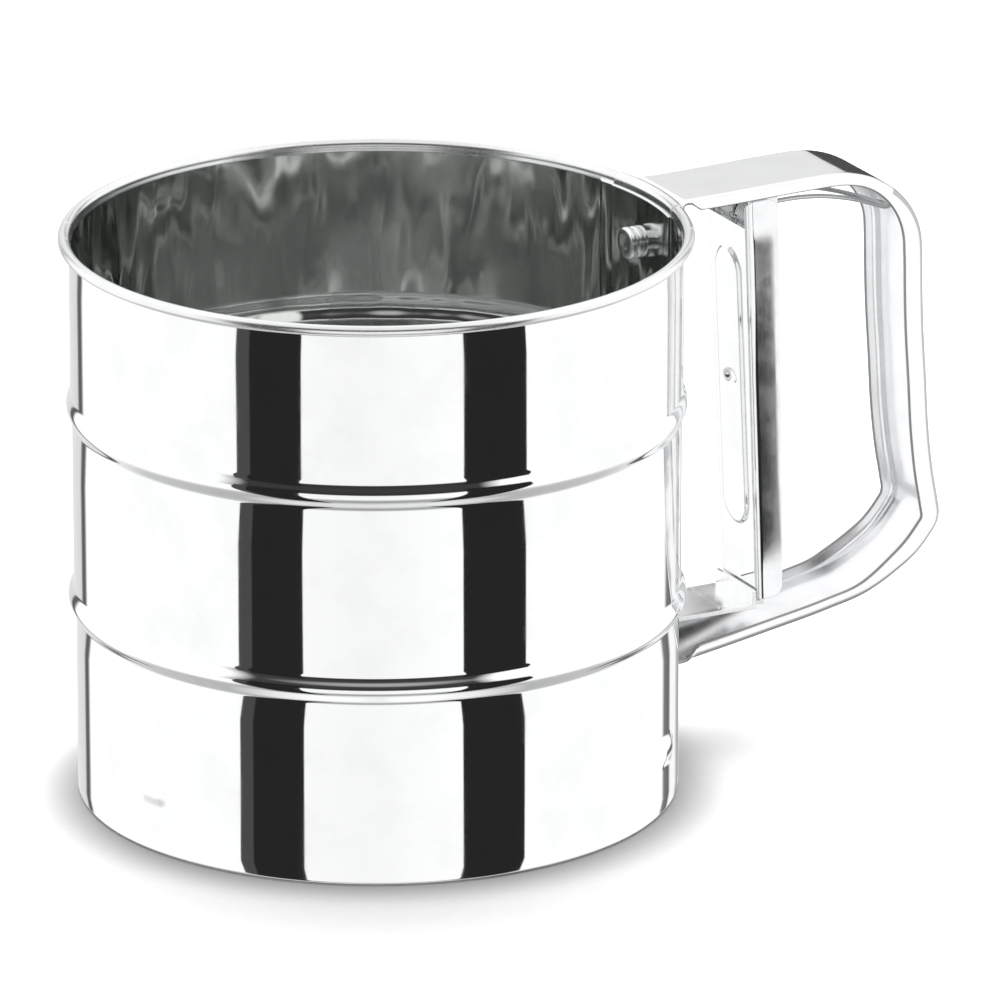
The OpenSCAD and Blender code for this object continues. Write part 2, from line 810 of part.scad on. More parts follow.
// Riveted through the arm, with a collar on top of it and a groove for the clip
module drive_pin() {
    tail_r = 2.4;
    tail_h = 0.8;
    collar_r = 2.6;
    collar_h = 1.8;
    pin_top_z = 30.4;
    arm_top_z = arm_z + layer_gap + arm_t;
    color(bright)
        translate([drive_rest[0], drive_rest[1], 0]) {
            translate([0, 0, arm_z - tail_h]) cylinder(r = tail_r, h = tail_h);
            translate([0, 0, arm_z - tail_h / 2])
                cylinder(r = drive_pin_r - layer_gap, h = arm_t + tail_h);
            translate([0, 0, arm_top_z + layer_gap]) cylinder(r = collar_r, h = collar_h);
            difference() {
                translate([0, 0, arm_top_z + collar_h / 2])
                    cylinder(r = drive_pin_r, h = pin_top_z - arm_top_z - collar_h / 2);
                ring(drive_pin_r + 1, pin_groove_r, pin_clip_z, pin_clip_z + pin_clip_t);
            }
        }
}

module drive_pin_clip() {
    color(dark_steel)
        translate([drive_rest[0], drive_rest[1], 0])
            ring(3.2, pin_groove_r + layer_gap, pin_clip_z + layer_gap,
                 pin_clip_z + pin_clip_t - layer_gap);
}

cup_shell();
rim_wire();
sieve_ring();
sieve_mesh();
mesh_clamp_ring();
cross_bar();
cross_bar_rivets();
pivot_post();
pivot_washer_lower();
pivot_washer_upper();
pivot_nut();
slot_plate();
handle_strap();
upper_handle_rivet();
lower_handle_rivets();
hinge_bracket();
hinge_pin();
hinge_pin_clip();
return_spring();
trigger_lever();
drive_link();
agitator_hub();
agitator_blade(0);  // agitator_blade_1
agitator_blade(1);  // agitator_blade_2
agitator_blade(2);  // agitator_blade_3
agitator_blade(3);  // agitator_blade_4
drive_arm();
drive_pin();
drive_pin_clip();
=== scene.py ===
"""Flour sifter with a squeeze trigger: the looks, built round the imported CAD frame.

Shapes are worked out in millimetres in the frame's own axes: the cup stands on z = 0 with its axis
on Z, and the handle points along +X. They become metres when a mesh is made.
"""

import json
import math

import bmesh
import bpy
from mathutils import Matrix, Vector


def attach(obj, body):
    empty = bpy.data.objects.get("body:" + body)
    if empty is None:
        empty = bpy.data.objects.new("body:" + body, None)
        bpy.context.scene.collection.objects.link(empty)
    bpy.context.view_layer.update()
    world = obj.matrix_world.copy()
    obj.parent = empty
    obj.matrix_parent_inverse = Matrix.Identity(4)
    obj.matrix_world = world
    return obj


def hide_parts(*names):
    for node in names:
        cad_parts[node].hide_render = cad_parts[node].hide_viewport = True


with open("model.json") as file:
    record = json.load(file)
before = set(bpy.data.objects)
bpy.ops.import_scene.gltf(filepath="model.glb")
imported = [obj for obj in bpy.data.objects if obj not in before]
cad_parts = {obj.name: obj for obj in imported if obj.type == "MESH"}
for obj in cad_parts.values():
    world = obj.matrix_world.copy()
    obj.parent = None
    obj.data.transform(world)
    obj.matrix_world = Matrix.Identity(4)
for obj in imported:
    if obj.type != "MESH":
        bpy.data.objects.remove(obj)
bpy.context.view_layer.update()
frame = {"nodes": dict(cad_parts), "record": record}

MM = 0.001

# ---- Sizes, in millimetres and degrees ----

SHEET = 0.5
TOP_R, MIDDLE_R, LOW_R = 62.5, 62.2, 61.8  # outer radius of the cup's three bands
BEAD_R, BEAD_H = 63.35, 6.4
LOW_BEAD_Z, HIGH_BEAD_Z = 41.5, 82.5
HEM_R, HEM_H, HEM_ROLL = 60.75, 5.0, 0.45  # the folded base: inner radius, height, edge radius
RIM_R, RIM_Z, RIM_ROLL = 63.55, 117.5, 1.3  # centre and radius of the rolled rim's section
# down the rim's inner side: how far out from the wall's inner face, and height over the rim's centre
RIM_INSIDE = ((0.44, 0.76), (0.28, 0.55), (0.16, 0.3), (0.08, 0.0), (0.03, -0.35), (0.0, -0.75))
RIM_STEP = 0.16  # how much thinner the rolled rim is outside the seam
SEAM_BAND = (4.0, 0.22)  # raised fold beside the seam: width in degrees, height
LAP = (-12.0, 11.5, 6.5, 116.2)  # second layer of the seam: two angles, two heights
SLOT = (8.09, 25.9, 27.7)  # the link's slot: half angle, two heights
BOSS_ANGLES, BOSS_Z, BOSS_HALF, BOSS_OUT = (-164.0, -44.0, 76.0), 12.9, (5.5, 3.7), 0.7

RIVET_R, RIVET_HEAD_R, RIVET_HEAD_H = 1.6, 2.5, 0.9
BIG_HEAD_R, WASHER_R, NECK_R = 3.4, 3.3, 2.0
UPPER_RIVET = (3.0, 106.4)  # angle from the handle, height
UPPER_GRIP = (TOP_R - 2 * SHEET, 63.32)  # radii of the faces that the upper rivet holds together
LOWER_RIVETS = (5.6, 32.0)  # angle each side of the handle, height
LOWER_GRIP = (60.18, 62.62)  # and the lower ones

STRAP_HALF, STRAP_T, STRAP_ROLL = 10.25, 0.8, 1.9
FAR_ROLL = (1.0, 2.1)  # the far edge's roll, along the top and down the grip
FAR_REACH = 3.6  # the far edge's greatest depth
TAB_CORNER = 2.2  # radius of the strap's end corners
CORNER, CORNER_R = (100.2, 100.4), (21.6, 18.33)  # centre and the two radii of the top corner
EDGE_TOP, EDGE_GRIP, EDGE_LOW = 2.4, 5.0, 3.1  # depth of the turned-in edges
GRIP_LOW = (126.0, 44.0)  # where the grip ends and the lower run begins: place along X, height

HINGE_X, HINGE_Z = 85.0, 110.5
WEB, LEVER_DROP, LEVER_TOP, WEB_TOP = 4.43, 82.2, 5.0, -0.9  # from the pin: web's face, ends, web's top
LEVER_T, LEVER_BEND, LEVER_LEAN = 0.9, 1.3, 2.54  # sheet, outer radius of its bends, lean in degrees
LEVER_HALF_LOW, LEVER_HALF_TOP = 8.15, 9.15  # half width at both ends
OVAL_Z, OVAL_STRAIGHT, OVAL_HALF, OVAL_OUT = -37.0, 25.0, 5.5, 0.6  # heights count from the pin
DIMPLE_Z, DIMPLE_WIDE, DIMPLE_R, DIMPLE_DEEP = -35.0, 1.6, 2.1, 0.75  # DIMPLE_WIDE is width over height
FLANGE_LOW, FLANGE_HIGH = 5.8, 7.0  # depth of the flanges at the low end, and from FLANGE_FULL_Z up
FLANGE_FULL_Z, FLANGE_MIDDLE_Z = -8.0, -40.0
CORNER_LOW_R, CORNER_TOP_R, EAR_R = 2.5, 2.2, 1.5  # the flange's corners, and the ear's beside the web
FLARE_SLOPE, FLARE_END, FLARE_EASE = 0.085, 4.5, 0.15  # how the flanges lean outward from the web

WIRE_R, COIL_R, COIL_TURNS, COIL_PITCH, COIL_Y = 0.5, 2.6, 4, 1.02, 1.1
# the wire loop: length from the pin, radius of its end, how far it falls and how much it bows up
LOOP_REACH, LOOP_NOSE, LOOP_DROP, LOOP_ARCH = 33.4, 2.2, 5.4, 0.8

MESH_Z, MESH_R, MESH_PITCH, MESH_WIRE_R, MESH_HOLE_R = 13.71, 60.0, 1.25, 0.14, 3.4

CAMERA_AZIMUTH, CAMERA_ELEVATION = -27.0, 18.81
CAMERA_AIM, CAMERA_DISTANCE, CAMERA_LENS = (22.35, -11.39, 60.7), 2354.7, 414.7

KEY_SIZE, KEY_DISTANCE, KEY_ELEVATION, KEY_POWER = 0.85, 1.1, 68, 9.0  # metres, degrees and watts


# ---- Small tools ----


def smooth(x, low=0.0, high=1.0):
    """0 below low, 1 above high, and smooth between."""
    t = min(1.0, max(0.0, (x - low) / (high - low)))
    return t * t * (3 - 2 * t)


def spread(low, high, count):
    """count + 1 even values from low to high."""
    return [low + (high - low) * i / count for i in range(count + 1)]


def lerp(a, b, t):
    return a + (b - a) * t


def rounded(along, radius):
    """How far a round corner of this radius pulls an outline in, at a distance along its edge."""
    return radius - math.sqrt(max(0.0, radius**2 - (radius - along) ** 2)) if along < radius else 0.0


def grid(rows, cols, close_rows=False, close_cols=False, skip=None):
    """Quads of a grid of points stored row by row."""
    faces = []
    for i in range(rows if close_rows else rows - 1):
        for j in range(cols if close_cols else cols - 1):
            if skip and skip(i, j):
                continue
            i2, j2 = (i + 1) % rows, (j + 1) % cols
            faces.append((i * cols + j, i * cols + j2, i2 * cols + j2, i2 * cols + j))
    return faces


def piece(name, points, faces, body, slot, replaces=(), sharp=35.0, even=False, finish=None):
    """A smooth-shaded mesh piece that rides on a CAD body. Points are in millimetres.

    even keeps large flat faces flat beside their small rounded edges. finish names each face's
    material, or None where it is the slot's own.
    """
    mesh = bpy.data.meshes.new(name)
    mesh.from_pydata([tuple(c * MM for c in p) for p in points], [], faces)
    mesh.materials.append(MATERIALS[slot])
    if finish:
        others = sorted(set(finish) - {None})
        for other in others:
            mesh.materials.append(MATERIALS[other])
        order = [None] + others
        mesh.polygons.foreach_set("material_index", [order.index(f) for f in finish])
    mesh.validate()
    work = bmesh.new()
    work.from_mesh(mesh)
    bmesh.ops.recalc_face_normals(work, faces=work.faces)
    work.to_mesh(mesh)
    work.free()
    mesh.shade_smooth()
    mesh.set_sharp_from_angle(angle=math.radians(sharp))
    obj = bpy.data.objects.new(name, mesh)
    bpy.context.scene.collection.objects.link(obj)
    if even:
        weigh = obj.modifiers.new("even_faces", "WEIGHTED_NORMAL")
        weigh.mode = "FACE_AREA"
        weigh.keep_sharp = True
    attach(obj, body)
    if replaces:
        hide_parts(*replaces)
    return obj


def hermite(points, step):
    """A smooth curve through the points, about step apart. Returns its points."""
    points = [Vector(p) for p in points]
    gaps = [(b - a).length for a, b in zip(points, points[1:])]
    slopes = [(b - a) / g for a, b, g in zip(points, points[1:], gaps)]
    tangents = [slopes[0]]
    for i in range(1, len(points) - 1):
        h0, h1 = gaps[i - 1], gaps[i]
        tangents.append((slopes[i - 1] * h1 + slopes[i] * h0) / (h0 + h1))
    tangents.append(slopes[-1])
    curve = []
    for i, gap in enumerate(gaps):
        count = max(1, round(gap / step))
        for k in range(count):
            t = k / count
            a, b = points[i], points[i + 1]
            ma, mb = tangents[i] * gap, tangents[i + 1] * gap
            curve.append(
                a * (2 * t**3 - 3 * t**2 + 1)
                + ma * (t**3 - 2 * t**2 + t)
                + b * (3 * t**2 - 2 * t**3)
                + mb * (t**3 - t**2)
            )
    return curve + [points[-1]]


def arc2(centre, radius, start, end, count):
    """Points on an arc in a plane, from start to end degrees."""
    return [
        (
            centre[0] + radius * math.cos(math.radians(a)),
            centre[1] + radius * math.sin(math.radians(a)),
        )
        for a in spread(start, end, count)
    ]


def tube(path, radius, sides=12):
    """A round wire along a path. Returns points and faces, its ends closed."""
    path = [Vector(p) for p in path]
    points, faces = [], []
    side = None
    for i, p in enumerate(path):
        along = (path[min(i + 1, len(path) - 1)] - path[max(i - 1, 0)]).normalized()
        if side is None:
            side = along.orthogonal()
        side = (side - along * side.dot(along)).normalized()
        other = along.cross(side)
        for k in range(sides):
            a = 2 * math.pi * k / sides
            points.append(p + side * (radius * math.cos(a)) + other * (radius * math.sin(a)))
    faces = grid(len(path), sides, close_cols=True)
    last = (len(path) - 1) * sides
    faces.append(tuple(range(sides))[::-1])
    faces.append(tuple(last + k for k in range(sides)))
    return points, faces


def joined(parts):
    """Several (points, faces) as one."""
    points, faces = [], []
    for more_points, more_faces in parts:
        start = len(points)
        points += list(more_points)
        faces += [tuple(start + i for i in f) for f in more_faces]
    return points, faces


# ---- Materials ----


def add(tree, kind, inputs=None, **settings):
    """A node with its settings, and its inputs given as values or as sockets to link."""
    node = tree.nodes.new(kind)
    for name, value in settings.items():
        setattr(node, name, value)
    for name, value in (inputs or {}).items():
        if isinstance(value, bpy.types.NodeSocket):
            tree.links.new(value, node.inputs[name])
        else:
            node.inputs[name].default_value = value
    return node


def ramp(tree, factor, stops, interpolation="LINEAR"):
    """A colour ramp of grey values at the given places."""
    node = add(tree, "ShaderNodeValToRGB", {"Fac": factor})
    node.color_ramp.interpolation = interpolation
    elements = node.color_ramp.elements
    for place, value in stops[:2]:
        elements[0 if place == stops[0][0] else 1].position = place
    while len(elements) < len(stops):
        elements.new(0.5)
    for element, (place, value) in zip(elements, stops):
        element.position = place
        element.color = (value, value, value, 1)
    return node.outputs["Color"]


SMUDGES, GRAINS = 90, 500  # noise features to the metre
SOFT_EDGE = 0.0002  # radius in metres that every sharp edge seems to have


def steel(name, tint, roughness, wave=0.0, wave_scale=(24, 24, 10), grain=(1, 1, 1), grain_depth=0.0,
          smudge=0.03, edge=0.12):
    """Stainless steel: sheet waviness, polishing grain, smudges, and softer edges that are rougher with
    wear and brighter as a painted highlight.

    wave and grain_depth are heights in metres, and grain is how fine the grain is along each axis.
    """
    material = bpy.data.materials.new(name)
    material.use_nodes = True
    tree = material.node_tree
    shader = tree.nodes["Principled BSDF"]
    place = add(tree, "ShaderNodeTexCoord").outputs["Object"]

    cloudy = add(tree, "ShaderNodeTexNoise",
                 {"Vector": place, "Scale": SMUDGES, "Detail": 4, "Roughness": 0.6})
    grain_place = add(tree, "ShaderNodeMapping",
                      {"Vector": place, "Scale": tuple(GRAINS * g for g in grain)})
    fine = add(tree, "ShaderNodeTexNoise",
               {"Vector": grain_place.outputs["Vector"], "Scale": 1, "Detail": 3, "Roughness": 0.7})

    pointiness = add(tree, "ShaderNodeNewGeometry").outputs["Pointiness"]
    # on convex edges: more roughness for wear, and a brighter colour as a painted highlight
    edge_wear_and_highlight = add(tree, "ShaderNodeMapRange",
               {"Value": pointiness, "From Min": 0.505, "From Max": 0.58, "To Min": 0.0, "To Max": 1.0})
    dull = add(tree, "ShaderNodeMapRange", {"Value": cloudy.outputs["Fac"], "From Min": 0.45,
                                            "From Max": 0.7, "To Min": 0.0, "To Max": 1.0})

    def shade(share):
        return tuple(min(1.0, c * share) for c in tint) + (1,)

    tone = add(tree, "ShaderNodeMix", {"Factor": dull.outputs["Result"]}, data_type="RGBA")
    tone.inputs["A"].default_value = shade(1.02)
    tone.inputs["B"].default_value = shade(0.975)
    # painted highlight: the base colour is brighter on convex edges
    bright_edge = add(tree, "ShaderNodeMix", {"Factor": edge_wear_and_highlight.outputs["Result"]}, data_type="RGBA")
    tree.links.new(tone.outputs["Result"], bright_edge.inputs["A"])
    bright_edge.inputs["B"].default_value = shade(1.08)
    tree.links.new(bright_edge.outputs["Result"], shader.inputs["Base Color"])
    shader.inputs["Metallic"].default_value = 1.0

    rough = add(tree, "ShaderNodeMath", {0: dull.outputs["Result"], 1: smudge, 2: roughness},
                operation="MULTIPLY_ADD")
    rough = add(tree, "ShaderNodeMath", {0: fine.outputs["Fac"], 1: smudge * 0.8, 2: rough.outputs[0]},
                operation="MULTIPLY_ADD")
    rough = add(tree, "ShaderNodeMath", {0: edge_wear_and_highlight.outputs["Result"], 1: edge, 2: rough.outputs[0]},
                operation="MULTIPLY_ADD")
    tree.links.new(rough.outputs[0], shader.inputs["Roughness"])

    normal = add(tree, "ShaderNodeBevel", {"Radius": SOFT_EDGE}, samples=4).outputs["Normal"]
    if wave:
        wave_place = add(tree, "ShaderNodeMapping", {"Vector": place, "Scale": wave_scale})
        swell = add(tree, "ShaderNodeTexNoise",
                    {"Vector": wave_place.outputs["Vector"], "Scale": 1, "Detail": 2, "Roughness": 0.45})
        normal = add(tree, "ShaderNodeBump",
                     {"Height": swell.outputs["Fac"], "Distance": wave, "Strength": 1.0, "Normal": normal}
                     ).outputs["Normal"]
    if grain_depth:
        normal = add(tree, "ShaderNodeBump",
                     {"Height": fine.outputs["Fac"], "Distance": grain_depth, "Strength": 1.0,
                      "Normal": normal}).outputs["Normal"]
    tree.links.new(normal, shader.inputs["Normal"])
    return material


MATERIALS = {
    "cup_steel": steel("cup_steel", (0.90, 0.905, 0.91), 0.025, wave=1.2e-4, grain=(0.3, 0.3, 6),
                       grain_depth=3e-7, smudge=0.02),
    # painted shade: the inside of the wall, and the seam's layer on it, are steel darkened where the cup
    # shades itself
    "cup_inside_painted_shade": steel("cup_inside_painted_shade", (0.67, 0.685, 0.67), 0.04, wave=3.2e-3, wave_scale=(50, 50, 16),
                        grain=(1, 1, 0.1), grain_depth=6e-7, smudge=0.08),
    "cup_seam_painted_shade": steel("cup_seam_painted_shade", (0.64, 0.655, 0.64), 0.045, wave=1.8e-3, wave_scale=(60, 60, 30),
                      grain=(1, 1, 0.3), grain_depth=6e-7, smudge=0.08),
    "rim_steel": steel("rim_steel", (0.88, 0.885, 0.89), 0.2, grain=(1, 1, 4), grain_depth=8e-7,
                       smudge=0.06),
    # painted shade: a dark, dull line along the handle's near rolled edge
    "rolled_line": steel("rolled_line", (0.5, 0.51, 0.51), 0.28, grain=(2, 2, 2), grain_depth=1e-6,
                         smudge=0.08),
    # rough sheared edges, their dark tint partly painted shade
    "cut_edge": steel("cut_edge", (0.36, 0.37, 0.365), 0.3, grain=(3, 3, 3), grain_depth=3e-6, smudge=0.1),
    "handle_steel": steel("handle_steel", (0.90, 0.905, 0.91), 0.04, wave=1.0e-4, wave_scale=(40, 40, 40),
                          grain=(1, 5, 1), grain_depth=4e-7, smudge=0.03),
    "lever_steel": steel("lever_steel", (0.88, 0.885, 0.89), 0.04, wave=1.1e-4, wave_scale=(40, 40, 30),
                         grain=(1, 5, 0.4), grain_depth=5e-7, smudge=0.03),
    "flange_steel": steel("flange_steel", (0.88, 0.885, 0.895), 0.085, wave=1.1e-4, wave_scale=(40, 40, 30),
                          grain=(3, 3, 1.2), grain_depth=8e-7, smudge=0.07),
    "strap_inside": steel("strap_inside", (0.90, 0.905, 0.915), 0.16, wave=0.8e-4, wave_scale=(40, 40, 40),
                          grain=(1, 4, 1), grain_depth=6e-7, smudge=0.06),
    "inner_steel": steel("inner_steel", (0.92, 0.925, 0.93), 0.11, wave=0.6e-4, wave_scale=(50, 50, 50),
                         grain=(0.5, 6, 3), grain_depth=1.5e-6, smudge=0.08),
    "rivet_steel": steel("rivet_steel", (0.93, 0.935, 0.94), 0.12, grain=(2, 2, 2), grain_depth=2e-6,
                         smudge=0.08),
    "wire_steel": steel("wire_steel", (0.56, 0.57, 0.57), 0.17, grain=(2, 2, 2), grain_depth=2e-6,
                        smudge=0.08),
    "mesh_wire": steel("mesh_wire", (0.68, 0.69, 0.70), 0.22, grain=(2, 2, 2), grain_depth=1e-6,
                       smudge=0.08),
    "agitator_steel": steel("agitator_steel", (0.76, 0.765, 0.77), 0.18, wave=0.5e-4,
                            wave_scale=(50, 50, 50), grain=(5, 0.6, 5), grain_depth=1.5e-6, smudge=0.08),
}


# ---- Cup ----


def bead_radius(z, middle, below, above):
    """Outer radius on a bead between two bands of the wall."""
    t = (z - middle) / BEAD_H + 0.5
    band = lerp(below, above, t)
    return band + (BEAD_R - band) * (1 - math.cos(2 * math.pi * t)) / 2


def wall_radius(z):
    """Outer radius of the wall at height z, bosses left out."""
    for middle, below, above in ((LOW_BEAD_Z, LOW_R, MIDDLE_R), (HIGH_BEAD_Z, MIDDLE_R, TOP_R)):
        if abs(z - middle) <= BEAD_H / 2:
            return bead_radius(z, middle, below, above)
    return LOW_R if z < LOW_BEAD_Z else MIDDLE_R if z < HIGH_BEAD_Z else TOP_R


def boss_rise(angle, z):
    """How far the pressed ovals stand out at a place on the wall."""
    rise = 0.0
    for a in BOSS_ANGLES:
        across = math.radians((angle - a + 180) % 360 - 180) * LOW_R
        over = math.hypot(max(0.0, abs(across) - (BOSS_HALF[0] - BOSS_HALF[1])), z - BOSS_Z)
        rise = max(rise, BOSS_OUT * (1 - smooth(over, 0.3, BOSS_HALF[1])))
    return rise


def cup_angles():
    """Angles of the cup's columns: even, and closer at the bosses and the seam's edges."""
    angles = set(spread(-180, 179.5, 719))
    for a in BOSS_ANGLES:
        angles |= {(a + d + 180) % 360 - 180 for d in spread(-6, 6, 80)}
    for a in LAP[:2]:
        angles |= {a, a + math.copysign(0.06, a)}
    angles |= set(spread(LAP[1] + SEAM_BAND[0] * 0.8, LAP[1] + SEAM_BAND[0], 6))
    angles |= {-SLOT[0], SLOT[0]}
    ordered = sorted(angles)
    return [a for a, b in zip(ordered, ordered[1:] + [ordered[0] + 360]) if b - a > 0.02]


def cup_shell():
    """The cup as one closed sheet: wall, beads, bosses, rolled rim, seam, hem and the link's slot."""
    angles = cup_angles()
    beads = [z for m in (LOW_BEAD_Z, HIGH_BEAD_Z) for z in spread(m - BEAD_H / 2, m + BEAD_H / 2, 32)]
    boss_rows = spread(BOSS_Z - BOSS_HALF[1] - 0.3, BOSS_Z + BOSS_HALF[1] + 0.3, 40)
    plain = [6, 20, *SLOT[1:], 33, 50, 60, 70, 90, 100, 110]
    outer_z = sorted(set(plain + [HEM_ROLL, 3, 114] + beads + boss_rows))
    inner_z = sorted(set(plain + [*LAP[2:], LAP[2] + 0.1, LAP[3] + 0.2, 14, 115] + beads), reverse=True)

    rows = [("outer", wall_radius(z), z) for z in outer_z]
    meet = math.degrees(math.acos((TOP_R - RIM_R) / RIM_ROLL))
    rows += [("rim", r, z) for r, z in arc2((RIM_R, RIM_Z), RIM_ROLL, -meet, 135, 26)]
    inner_r = TOP_R - SHEET
    rows += [("rim", inner_r + d, RIM_Z + h) for d, h in RIM_INSIDE]
    rows += [("inner", wall_radius(z) - SHEET, z) for z in inner_z]
    rows += [("hem", HEM_R + 0.2, HEM_H), ("hem", HEM_R, HEM_H - 0.2)]
    rows += [("hem", r, z) for r, z in arc2((HEM_R + HEM_ROLL, HEM_ROLL), HEM_ROLL, 180, 270, 5)]
    rows += [("hem", r, z) for r, z in arc2((LOW_R - HEM_ROLL, HEM_ROLL), HEM_ROLL, 270, 340, 4)]

    band_slope, band_end = LAP[1] + SEAM_BAND[0] * 0.8, LAP[1] + SEAM_BAND[0]

    def place(kind, r, z, a):
        """Radius and height of a row's point at angle a."""
        in_seam = LAP[0] <= a <= LAP[1]
        if kind == "outer" and z < BOSS_Z + 2 * BOSS_HALF[1]:
            r += boss_rise(a, z)
        if kind == "inner" and LAP[2] < z < LAP[3] + 0.1:
            if in_seam:
                r -= SHEET
            elif LAP[1] < a < band_end:
                r -= SEAM_BAND[1] * (1 - smooth(a, band_slope, band_end))
        if kind == "rim" and not in_seam:
            thin = 1 - RIM_STEP / RIM_ROLL
            r, z = RIM_R + (r - RIM_R) * thin, RIM_Z + (z - RIM_Z) * thin
        return r, z

    points = []
    for kind, radius, height in rows:
        for a in angles:
            r, z = place(kind, radius, height, a)
            points.append((r * math.cos(math.radians(a)), r * math.sin(math.radians(a)), z))

    count = len(angles)
    first, last = angles.index(-SLOT[0]), angles.index(SLOT[0])
    outer_low, outer_high = (rows.index(("outer", LOW_R, z)) for z in SLOT[1:])
    inner_low, inner_high = (rows.index(("inner", LOW_R - SHEET, z)) for z in SLOT[1:])

    def in_slot(i, j):
        return first <= j < last and (outer_low <= i < outer_high or inner_high <= i < inner_low)

    faces = grid(len(rows), count, close_rows=True, close_cols=True, skip=in_slot)
    for j in range(first, last):
        for a, b in ((inner_low, outer_low), (outer_high, inner_high)):
            faces.append((a * count + j, a * count + j + 1, b * count + j + 1, b * count + j))
    for j, flip in ((first, 1), (last, -1)):
        side = tuple(i * count + j for i in (outer_low, outer_high, inner_high, inner_low))
        faces.append(side[::flip])
    body = piece("cup_body", points, faces, "cup", "cup_steel", ["cup_shell"], sharp=40)
    paint_inside(body)


def paint_inside(body):
    """Satin steel on the rim, steel darkened as painted shade inside the wall, and darker and duller still
    on the seam's second layer.
    """
    for slot in ("cup_inside_painted_shade", "cup_seam_painted_shade", "rim_steel"):
        body.data.materials.append(MATERIALS[slot])
    for face in body.data.polygons:
        outward = Vector((face.center.x, face.center.y, 0)).normalized()
        angle = math.degrees(math.atan2(face.center.y, face.center.x))
        if face.center.z > (RIM_Z - RIM_ROLL + 0.1) * MM:
            face.material_index = 3
        # painted shade: faces that look inward get the darkened steel
        elif face.normal.dot(outward) < -0.3:
            face.material_index = 2 if LAP[0] < angle < LAP[1] else 1


# ---- Rivets ----


def radial(angle, height, along):
    """Matrix that takes +Z to the outward radius at an angle, with the origin at radius along."""
    turn = Matrix.Rotation(math.radians(angle), 4, "Z") @ Matrix.Rotation(math.radians(90), 4, "Y")
    place = Matrix.Rotation(math.radians(angle), 4, "Z") @ Vector((along, 0, 0)) + Vector((0, 0, height))
    return Matrix.Translation(place) @ turn


def lathe(profile, count=40):
    """A closed solid of revolution about Z. The profile starts and ends on the axis."""
    points = [(r * math.cos(2 * math.pi * j / count), r * math.sin(2 * math.pi * j / count), z)
              for r, z in profile for j in range(count)]
    return points, grid(len(profile), count, close_cols=True)


ON_AXIS = 0.001  # radius of the tiny ring that ends a turned solid


def rivets(name, angles, height, faces_held, inner_head, node):
    """Rivets through the wall, from the inner head's profile to a flatter head outside."""
    inner_face, outer_face = faces_held
    grip = outer_face - inner_face
    flat_head = [(RIVET_HEAD_R, 0.05), (RIVET_HEAD_R + 0.02, 0.3), (RIVET_HEAD_R - 0.25, 0.62),
                 (RIVET_HEAD_R - 1.1, 0.78), (ON_AXIS, 0.8)]
    profile = inner_head + [(RIVET_R, 0.02), (RIVET_R, grip - 0.02)]
    profile += [(r, grip + z) for r, z in flat_head]
    parts = []
    for angle in angles:
        points, faces = lathe(profile)
        place = radial(angle, height, inner_face)
        parts.append(([place @ Vector(p) for p in points], faces))
    return piece(name, *joined(parts), "cup", "rivet_steel", [node], sharp=50)


def all_rivets():
    """One large rivet with a washer under the rim, and two domed ones at the handle's lower end."""
    big_head = [(ON_AXIS, -2.86), (1.2, -2.86), (1.6, -2.95), (2.3, -3.0), (2.9, -2.95), (3.25, -2.75),
                (BIG_HEAD_R, -2.45), (BIG_HEAD_R, -1.9), (3.3, -1.75), (NECK_R, -1.7), (NECK_R, -1.2),
                (WASHER_R - 0.15, -1.1), (WASHER_R, -0.95), (WASHER_R, -0.2), (WASHER_R - 0.1, -0.04)]
    rivets("upper_rivet", [UPPER_RIVET[0]], UPPER_RIVET[1], UPPER_GRIP, big_head, "upper_handle_rivet")
    dome = [(ON_AXIS, -RIVET_HEAD_H)] + [
        (RIVET_HEAD_R * math.sin(math.radians(t)), -RIVET_HEAD_H * math.cos(math.radians(t)))
        for t in spread(12, 82, 8)
    ] + [(RIVET_HEAD_R, 0.0)]
    rivets("lower_rivet_pair", [-LOWER_RIVETS[0], LOWER_RIVETS[0]], LOWER_RIVETS[1], LOWER_GRIP, dome,
           "lower_handle_rivets")


# ---- Handle ----


